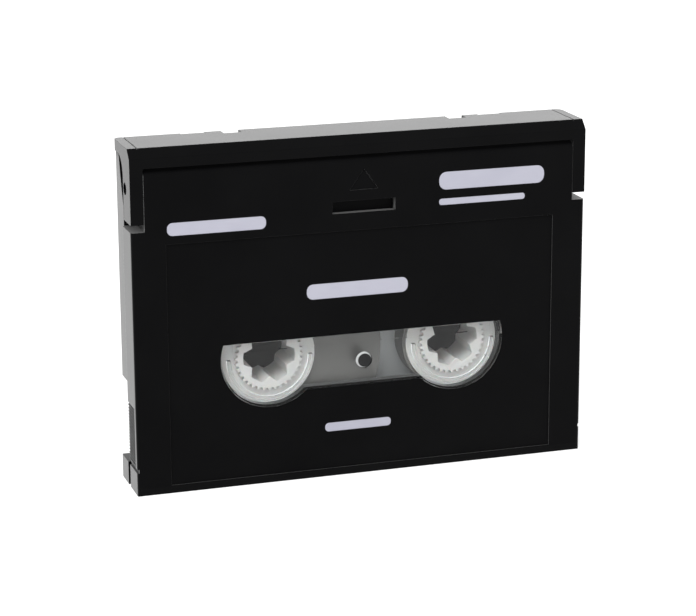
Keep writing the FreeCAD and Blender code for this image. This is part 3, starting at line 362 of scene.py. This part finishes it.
def wound_tape(name, hub_x_mm):
    """Rings of colour, gloss and height round one hub's axis."""
    finish, tree, shader = new_finish(name, {
        "IOR": 1.55, "Specular IOR Level": 0.5, "Metallic": 0.15})
    place = add_node(tree, "ShaderNodeTexCoord").outputs["Object"]
    centred = add_node(tree, "ShaderNodeMapping",
                       {"Location": (-hub_x_mm * MM, 0, -HUB_Z_MM * MM)}, {"Vector": place})
    flat = add_node(tree, "ShaderNodeVectorMath", {1: (1, 0, 1)},
                    {0: centred.outputs["Vector"]}, operation="MULTIPLY")
    reach = add_node(tree, "ShaderNodeVectorMath", links={0: flat.outputs["Vector"]},
                     operation="LENGTH")
    rings = add_node(tree, "ShaderNodeTexNoise", {"Scale": 1 / (RING_MM * MM), "Detail": 3.0},
                     {"W": reach.outputs["Value"]}, noise_dimensions="1D")
    ramp = add_node(tree, "ShaderNodeValToRGB", links={"Fac": rings.outputs["Fac"]})
    ramp.color_ramp.elements[0].position = 0.3
    ramp.color_ramp.elements[0].color = linear("#5e5c5a")
    ramp.color_ramp.elements[1].position = 0.75
    ramp.color_ramp.elements[1].color = linear("#6f6d6a")
    tree.links.new(ramp.outputs["Color"], shader.inputs["Base Color"])
    shine = add_node(tree, "ShaderNodeMapRange",
                     {"To Min": RING_ROUGH[0], "To Max": RING_ROUGH[1]},
                     {"Value": rings.outputs["Fac"]})
    tree.links.new(shine.outputs["Result"], shader.inputs["Roughness"])
    bump = add_node(tree, "ShaderNodeBump", {"Strength": 0.5, "Distance": RING_HEIGHT_MM * MM},
                    {"Height": rings.outputs["Fac"]})
    tree.links.new(bump.outputs["Normal"], shader.inputs["Normal"])
    return finish


supply_tape_finish = wound_tape("wound tape of the supply reel", -HUB_X_MM)
takeup_tape_finish = wound_tape("wound tape of the take-up reel", HUB_X_MM)
print(f"rings are {RING_MM} mm apart round hubs {HUB_X_MM} mm off the middle, z {HUB_Z_MM} mm")

# %% [markdown]
# ## Film across the front
# The coated film that runs from reel to reel is dark and smooth like patent leather. It hangs
# between its two pins and is never quite flat, so a slow ripple a few millimetres long bends
# what it mirrors.

# %% Coated film
POLYESTER_IOR = 1.6
RIPPLE_MM = 6.0
RIPPLE_HEIGHT_MM = 0.05

film_finish, tree, shader = new_finish("coated polyester film", {
    "IOR": POLYESTER_IOR, "Roughness": 0.16, "Base Color": linear("#211d1b")})
place = add_node(tree, "ShaderNodeTexCoord").outputs["Object"]
ripple = add_node(tree, "ShaderNodeTexNoise", {"Scale": 1 / (RIPPLE_MM * MM)},
                  {"Vector": place})
bump = add_node(tree, "ShaderNodeBump", {"Strength": 0.3, "Distance": RIPPLE_HEIGHT_MM * MM},
                {"Height": ripple.outputs["Fac"]})
tree.links.new(bump.outputs["Normal"], shader.inputs["Normal"])
print(film_finish.name, "ripples every", RIPPLE_MM, "mm")

# %% [markdown]
# ## Liner sheets
# The liner sheets beside the reels are thin polyester with a slip coating, a soft satin: the
# one under the reels is pale, and the one behind the window is smoked, so that it frames the
# view of the reels.

# %% Liners
liner_finish = moulded_finish(
    "satin polyester liner", {"IOR": POLYESTER_IOR, "Specular IOR Level": 0.4},
    grain_mm=0.4, grain_depth_mm=0.001, rough=0.38, dark="#d3d5d6", light="#dfe0e1")
smoked_finish = moulded_finish(
    "smoked polyester liner", {"IOR": POLYESTER_IOR, "Specular IOR Level": 0.3},
    grain_mm=0.4, grain_depth_mm=0.001, rough=0.38, dark="#1f1f21", light="#2a2a2c")
print("made", liner_finish.name, "and", smoked_finish.name)

# %% [markdown]
# ## Small steel pieces
# Guide pins are ground and polished steel with fine marks round them, springs are drawn wire,
# and the case screws are zinc plated. All are metals: metallic 1, told apart by roughness and
# by the direction of their marks, which the eye reads as bright streaks. The marks are a noise
# that a Mapping node stretches along the axes where its scale is below 1.

# %% Steels
MARK_DEPTH_MM = 0.003
MARK_GLOSS = 0.3


def steel(name, colour, rough, mark_mm, stretch):
    """A metal with marks of one size, drawn out along the axes that have a low scale."""
    finish, tree, shader = new_finish(name, {"Base Color": linear(colour), "Metallic": 1.0})
    place = add_node(tree, "ShaderNodeTexCoord").outputs["Object"]
    along = add_node(tree, "ShaderNodeMapping", {"Scale": stretch}, {"Vector": place})
    marks = add_node(tree, "ShaderNodeTexNoise", {"Scale": 1 / (mark_mm * MM), "Detail": 2.0},
                     {"Vector": along.outputs["Vector"]})
    spread = add_node(tree, "ShaderNodeMapRange",
                      {"To Min": rough * (1 - MARK_GLOSS), "To Max": rough * (1 + MARK_GLOSS)},
                      {"Value": marks.outputs["Fac"]})
    tree.links.new(spread.outputs["Result"], shader.inputs["Roughness"])
    bump = add_node(tree, "ShaderNodeBump", {"Strength": 0.4, "Distance": MARK_DEPTH_MM * MM},
                    {"Height": marks.outputs["Fac"]})
    tree.links.new(bump.outputs["Normal"], shader.inputs["Normal"])
    return finish


pin_finish = steel("ground stainless steel", "#c9c9cb", 0.18, 0.15, (0.2, 1, 0.2))
wire_finish = steel("drawn spring steel", "#b4b4b6", 0.3, 0.1, (1, 1, 0.3))
screw_finish = steel("zinc-plated steel", "#b8bab8", 0.35, 0.2, (1, 1, 1))
print("made", [finish.name for finish in (pin_finish, wire_finish, screw_finish)])

# %% [markdown]
# ## Put the finishes on
# The imported nodes keep their meshes. Only their material slots are filled again, each from
# one table that says what every piece is made of.

# %% Assign finishes
FINISHES = {
    "upper_shell": shell_finish, "lower_shell": shell_finish, "front_lid": lid_finish,
    "slider": slider_finish, "window": window_finish,
    "end_sensor_prism_left": prism_finish, "end_sensor_prism_right": prism_finish,
    "supply_hub": hub_finish, "takeup_hub": hub_finish,
    "supply_leader_clamp": hub_finish, "takeup_leader_clamp": hub_finish,
    "reel_brake": brake_finish, "write_protect_tab": tab_finish,
    "supply_tape_pack": supply_tape_finish, "takeup_tape_turns": takeup_tape_finish,
    "tape_run": film_finish,
    "upper_liner_sheet": smoked_finish, "lower_liner_sheet": liner_finish,
    "guide_pin_left": pin_finish, "guide_pin_right": pin_finish,
    "brake_spring": wire_finish, "slider_spring": wire_finish, "lid_spring": wire_finish,
    "screw_rear_left": screw_finish, "screw_rear_right": screw_finish,
    "screw_front_left": screw_finish, "screw_front_right": screw_finish,
}
for name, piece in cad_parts.items():
    piece.data.materials.clear()
    piece.data.materials.append(FINISHES[name])
print("finished nodes:", len(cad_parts))

# %% [markdown]
# ## Printing ink
# The label side carries small pad-printed marks in a pale lilac grey. Ink dries matt, with a
# fine grain from the silicone pad, and hardly mirrors the room.

# %% Pad-printing ink
ink_finish = moulded_finish(
    "pale pad-printing ink", {"IOR": 1.5, "Specular IOR Level": 0.3},
    grain_mm=0.1, grain_depth_mm=0.001, rough=0.5, dark="#c3c3d2", light="#cfcfdc")
print("made", ink_finish.name)

# %% [markdown]
# ## Printed bars
# The marks are plain bars with round ends here. A bar could be painted on with a mask, but a
# closed solid as thick as a coat of ink keeps its edge crisp at any distance. Each is a plane
# at its place and size. Its corners are rounded by a vertex bevel, and the face is extruded to
# the thickness of the ink.

# %% Print bars
INK_MM = 0.02
ROUND_SHARE = 0.42
ROUND_SEGMENTS = 5


def print_bar(name, x0, x1, z0, z1, base_y):
    """A round-ended bar of ink on the plane y = base_y; x and z are in millimetres."""
    bpy.ops.object.select_all(action="DESELECT")
    bpy.ops.mesh.primitive_plane_add(size=1, location=(0, 0, 0))
    bar = bpy.context.object
    bar.name = name
    bpy.ops.object.mode_set(mode="EDIT")
    bpy.ops.mesh.select_all(action="SELECT")
    bpy.ops.transform.resize(value=((x1 - x0) * MM, (z1 - z0) * MM, 1))
    bpy.ops.mesh.bevel(offset=(z1 - z0) * MM * ROUND_SHARE, segments=ROUND_SEGMENTS,
                       affect="VERTICES")
    bpy.ops.mesh.select_all(action="SELECT")
    bpy.ops.mesh.extrude_region_move(TRANSFORM_OT_translate={"value": (0, 0, INK_MM * MM)})
    bpy.ops.mesh.select_all(action="SELECT")
    bpy.ops.mesh.normals_make_consistent(inside=False)
    bpy.ops.object.mode_set(mode="OBJECT")
    bar.rotation_euler = (math.radians(90), 0, 0)
    bar.location = ((x0 + x1) / 2 * MM, base_y, (z0 + z1) / 2 * MM)
    bpy.ops.object.transform_apply(location=True, rotation=True, scale=True)
    bar.data.materials.append(ink_finish)
    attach(bar, "cartridge")
    print(name, "bar", round(x1 - x0, 1), "x", round(z1 - z0, 2), "mm")


face_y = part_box("upper_shell")[0][1]
label_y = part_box("window")[0][1]
for name, x0, x1, z0, z1, y in (
        ("print_bar_left", -31.0, -15.6, 40.6, 42.6, face_y),
        ("print_bar_right_high", 12.2, 29.6, 44.6, 47.4, face_y),
        ("print_bar_right_low", 12.2, 26.4, 42.2, 43.2, face_y),
        ("print_bar_centre", -9.2, 7.2, 28.8, 31.2, label_y),
        ("print_bar_low", -6.4, 4.4, 7.3, 8.7, label_y)):
    print_bar(name, x0, x1, z0, z1, y)

# %% [markdown]
# ## Finishes of the cut gate
# Molten plastic enters the pane through one small round gate in its middle, and the stub that
# is left there is cut off inside a dimple. A pale ring round it is a painted highlight. The
# coarse face inside the ring is dark with painted shade.

# %% Gate finishes
# Painted highlight: the pale colour of the gate's ring.
gate_painted_highlight_finish = moulded_finish(
    "styrene with painted highlight", {"IOR": STYRENE_IOR, "Specular IOR Level": 0.4},
    grain_mm=0.12, grain_depth_mm=0.008, rough=0.35, dark="#d6d8d8", light="#e6e8e8")
# Painted shade: the dark colour of the face inside the ring.
gate_painted_shade_finish = moulded_finish(
    "styrene with painted shade", {"IOR": STYRENE_IOR, "Specular IOR Level": 0.1},
    grain_mm=0.25, grain_depth_mm=0.06, rough=0.3, dark="#1c1c1d", light="#3c3c3d")
print("made", gate_painted_highlight_finish.name, "and", gate_painted_shade_finish.name)

# %% [markdown]
# ## Gate discs
# The cut gate is two thin discs, a dark one of painted shade in front of a pale one of painted
# highlight. The dark one is smaller and sits a little off centre, so a crescent of painted
# highlight shows beside it. Each starts as a cylinder. Its front face is inset and pushed in,
# which makes the dish, and a bevel rounds the rims.

# %% Cut gate
GATE_MM = (0.0, 18.4)
# Middle of the dark disc of painted shade, off centre so a crescent of painted highlight shows.
SHADE_DISC_MM = (GATE_MM[0] + 0.16, GATE_MM[1] - 0.1)
DISC_SIDES = 48
LAND_SHARE = 0.25
WALL_SHARE = 0.2
DISH_SHARE = 0.4
RIM_SHARE = 0.25
RIM_SEGMENTS = 3
DISC_SMOOTH = math.radians(40)

pane_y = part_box("window")[0][1]


def small_dish(name, radius_mm, middle_mm, front_mm, back_mm, finish):
    """A disc facing -Y with a shallow dish in it; depths are measured in from the pane's face."""
    thick = (back_mm - front_mm) * MM
    bpy.ops.object.select_all(action="DESELECT")
    bpy.ops.mesh.primitive_cylinder_add(
        vertices=DISC_SIDES, radius=radius_mm * MM, depth=thick,
        rotation=(math.radians(90), 0, 0),
        location=(middle_mm[0] * MM, pane_y + front_mm * MM + thick / 2, middle_mm[1] * MM))
    dish = bpy.context.object
    dish.name = name
    bpy.ops.object.transform_apply(location=True, rotation=True, scale=True)
    bpy.ops.object.mode_set(mode="EDIT")
    bpy.ops.mesh.select_all(action="DESELECT")
    bpy.ops.object.mode_set(mode="OBJECT")
    for face in dish.data.polygons:
        face.select = face.normal.y < -0.9
    bpy.ops.object.mode_set(mode="EDIT")
    bpy.ops.mesh.select_mode(type="FACE")
    bpy.ops.mesh.inset(thickness=radius_mm * MM * LAND_SHARE, depth=0)
    bpy.ops.mesh.inset(thickness=radius_mm * MM * WALL_SHARE, depth=-thick * DISH_SHARE)
    bpy.ops.mesh.select_all(action="SELECT")
    bpy.ops.mesh.normals_make_consistent(inside=False)
    bpy.ops.object.mode_set(mode="OBJECT")
    bevel = dish.modifiers.new("rim", "BEVEL")
    bevel.width = thick * RIM_SHARE
    bevel.segments = RIM_SEGMENTS
    bevel.limit_method = "ANGLE"
    bpy.ops.object.modifier_apply(modifier="rim")
    bpy.ops.object.shade_smooth_by_angle(angle=DISC_SMOOTH)
    dish.data.materials.append(finish)
    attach(dish, "cartridge")
    print(name, "faces:", len(dish.data.polygons))


# The pale disc carries the painted highlight, the dark disc the painted shade.
small_dish("window_gate_painted_highlight", 1.26, GATE_MM, 0.22, 0.34, gate_painted_highlight_finish)
small_dish("window_gate_painted_shade", 1.06, SHADE_DISC_MM, 0.06, 0.2, gate_painted_shade_finish)

# %% [markdown]
# ## Coil springs
# The slider's spring is pressed together when the slider goes back, and so is the brake's when
# the brake lifts. A rigid copy would be cut by what presses it, and the coils wound here stay
# rigid too: a small circle, the section of the wire, is swept up by a Screw modifier and its two
# ends are closed.

# %% Coil springs
WIRE_RADIUS_MM = 0.1
WIRE_SIDES = 10
STEPS_PER_TURN = 20
WIRE_SMOOTH = math.radians(50)


def wind_spring(name, node, turns):
    """A coil that fills the box of a CAD spring and takes its place."""
    low, high = (Vector(corner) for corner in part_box(node))
    middle = (low + high) / 2
    reach = (high.x - low.x) / 2 - WIRE_RADIUS_MM * MM
    length = high.z - low.z
    bpy.ops.object.select_all(action="DESELECT")
    bpy.ops.mesh.primitive_circle_add(
        vertices=WIRE_SIDES, radius=WIRE_RADIUS_MM * MM, fill_type="NOTHING",
        rotation=(math.radians(90), 0, 0), location=(reach, 0, WIRE_RADIUS_MM * MM))
    spring = bpy.context.object
    spring.name = name
    bpy.ops.object.transform_apply(location=True, rotation=True, scale=True)
    sweep = spring.modifiers.new("sweep", "SCREW")
    sweep.angle = turns * math.tau
    sweep.screw_offset = length - 2 * WIRE_RADIUS_MM * MM
    sweep.steps = sweep.render_steps = turns * STEPS_PER_TURN
    bpy.ops.object.modifier_apply(modifier="sweep")
    bpy.ops.object.mode_set(mode="EDIT")
    bpy.ops.mesh.select_all(action="SELECT")
    bpy.ops.mesh.fill_holes(sides=0)
    bpy.ops.mesh.select_all(action="SELECT")
    bpy.ops.mesh.normals_make_consistent(inside=False)
    bpy.ops.object.mode_set(mode="OBJECT")
    spring.location = (middle.x, middle.y, low.z)
    bpy.ops.object.transform_apply(location=True, rotation=True, scale=True)
    bpy.ops.object.shade_smooth_by_angle(angle=WIRE_SMOOTH)
    spring.data.materials.clear()
    spring.data.materials.append(wire_finish)
    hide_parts(node)
    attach(spring, "cartridge")
    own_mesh(spring)
    print(name, "turns:", turns, "length, mm:", round(length / MM, 2))


wind_spring("slider_spring_coil", "slider_spring", 12)
wind_spring("brake_spring_coil", "brake_spring", 5)

# %% [markdown]
# ## What sees the white background
# The floor and the room have to be pure white behind the object, but a room that lights the
# object so strongly would wash it out. So both are at full white only for rays that come from
# the camera, directly, by way of a glossy face or through clear plastic.

# %% Rays that see the background
def seen_rays(tree):
    """A socket that is 1 for camera, glossy and transmission rays, else 0."""
    path = add_node(tree, "ShaderNodeLightPath")
    seen = path.outputs["Is Camera Ray"]
    for ray in ("Is Glossy Ray", "Is Transmission Ray"):
        either = add_node(tree, "ShaderNodeMath", links={0: seen, 1: path.outputs[ray]},
                          operation="MAXIMUM")
        seen = either.outputs["Value"]
    return seen


print("white for camera, glossy and transmission rays")

# %% [markdown]
# ## Floor
# The cartridge stands on a pale table. The floor is a lit matt sheet that also glows a little
# for the camera, so it reads as white and still keeps the soft shadow of the object.

# %% Floor
FLOOR_GLOW = 0.6
FLOOR_SIZE_M = 6

floor_finish, tree, shader = new_finish("matt white table", {
    "Base Color": linear("#d8d8d8"), "Roughness": 0.9, "Specular IOR Level": 0.0})
seen = seen_rays(tree)
glow = add_node(tree, "ShaderNodeEmission", {"Color": linear("#ffffff")})
level = add_node(tree, "ShaderNodeMath", {1: FLOOR_GLOW}, {0: seen}, operation="MULTIPLY")
tree.links.new(level.outputs["Value"], glow.inputs["Strength"])
total = add_node(tree, "ShaderNodeAddShader")
tree.links.new(shader.outputs["BSDF"], total.inputs[0])
tree.links.new(glow.outputs["Emission"], total.inputs[1])
tree.links.new(total.outputs["Shader"], surface_socket(tree))
bpy.ops.object.select_all(action="DESELECT")
bpy.ops.mesh.primitive_plane_add(size=FLOOR_SIZE_M, location=(0, 0, cad_box[0][2]))
floor = bpy.context.object
floor.name = "floor"
floor.data.materials.append(floor_finish)
print("floor lies at z", round(cad_box[0][2] / MM, 2), "mm")

# %% [markdown]
# ## Room
# An even white room lights every side of the object alike. It lights the object with two
# thirds of its white, so that pale acetal doesn't clip, and shows itself at full white.

# %% World
ROOM_ON_OBJECT = 0.66
ROOM_SEEN = 1.0

world = bpy.data.worlds.new("white room")
bpy.context.scene.world = world
world.use_nodes = True
tree = world.node_tree
tree.nodes.clear()
strength = add_node(tree, "ShaderNodeMapRange", {"To Min": ROOM_ON_OBJECT, "To Max": ROOM_SEEN},
                    {"Value": seen_rays(tree)})
room = add_node(tree, "ShaderNodeBackground", {"Color": linear("#ffffff")},
                {"Strength": strength.outputs["Result"]})
add_node(tree, "ShaderNodeOutputWorld", links={"Surface": room.outputs["Background"]})
print(world.name, "nodes:", len(world.node_tree.nodes))

# %% [markdown]
# ## Lamps
# Black plastic shows little but what it mirrors, so a broad soft lamp behind the object draws
# the lid's top and the side walls as grey planes, while little stands in front of the dark
# face. A smaller key lamp, high on the left, gives the white hubs their shading.

# %% Lamps
OBJECT_MIDDLE = (0, 0, 0.027)


def soft_lamp(name, watts, width, height, place):
    """A rectangular lamp, sizes in metres, turned to the middle of the object."""
    data = bpy.data.lights.new(name, "AREA")
    data.shape = "RECTANGLE"
    data.size = width
    data.size_y = height
    data.energy = watts
    lamp = bpy.data.objects.new(name, data)
    bpy.context.scene.collection.objects.link(lamp)
    lamp.location = place
    aim = Vector(OBJECT_MIDDLE) - Vector(place)
    lamp.rotation_euler = aim.to_track_quat("-Z", "Y").to_euler()


soft_lamp("key lamp", watts=9.0, width=0.45, height=0.45, place=(-0.5, -0.7, 1.1))
soft_lamp("back lamp", watts=4.5, width=1.6, height=0.7, place=(0.1, 1.1, 0.55))

# %% [markdown]
# ## Camera
# A long lens looks at the label side from a little to the left and above. Its rotation is
# built from the viewing angles, so azimuth, elevation and roll can each be read off.

# %% Camera
AZIMUTH = math.radians(-17.80)
ELEVATION = math.radians(15.164)
ROLL = math.radians(-0.262)
CAMERA_MM = (-113.54, -350.61, 125.36)
SENSOR_MM = 36.0
LENS_MM = 125.97

back = Vector((math.sin(AZIMUTH) * math.cos(ELEVATION),
               -math.cos(AZIMUTH) * math.cos(ELEVATION), math.sin(ELEVATION)))
side = Vector((0, 0, 1)).cross(back).normalized()
above = back.cross(side)
right = math.cos(ROLL) * side + math.sin(ROLL) * above
up = -math.sin(ROLL) * side + math.cos(ROLL) * above
camera_data = bpy.data.cameras.new("camera")
camera_data.sensor_width = SENSOR_MM
camera_data.lens = LENS_MM
camera = bpy.data.objects.new("camera", camera_data)
bpy.context.scene.collection.objects.link(camera)
turn = Matrix((right, up, back)).transposed().to_4x4()
camera.matrix_world = Matrix.Translation(Vector(CAMERA_MM) * MM) @ turn
bpy.context.scene.camera = camera
print("camera stands", round(camera.location.length / MM), "mm from the origin")

# %% [markdown]
# ## Colour view
# The Standard view transform shows each colour about as its hex code says. Others compress
# bright tones, which would turn the white room grey.

# %% Plain colour view
scene = bpy.context.scene
scene.view_settings.view_transform = "Standard"
print("view transform:", scene.view_settings.view_transform)

# %% [markdown]
# ## Last update
# The dressed model must be as large as the solids. The script ends by bringing the view layer
# up to date.

bpy.context.view_layer.update()
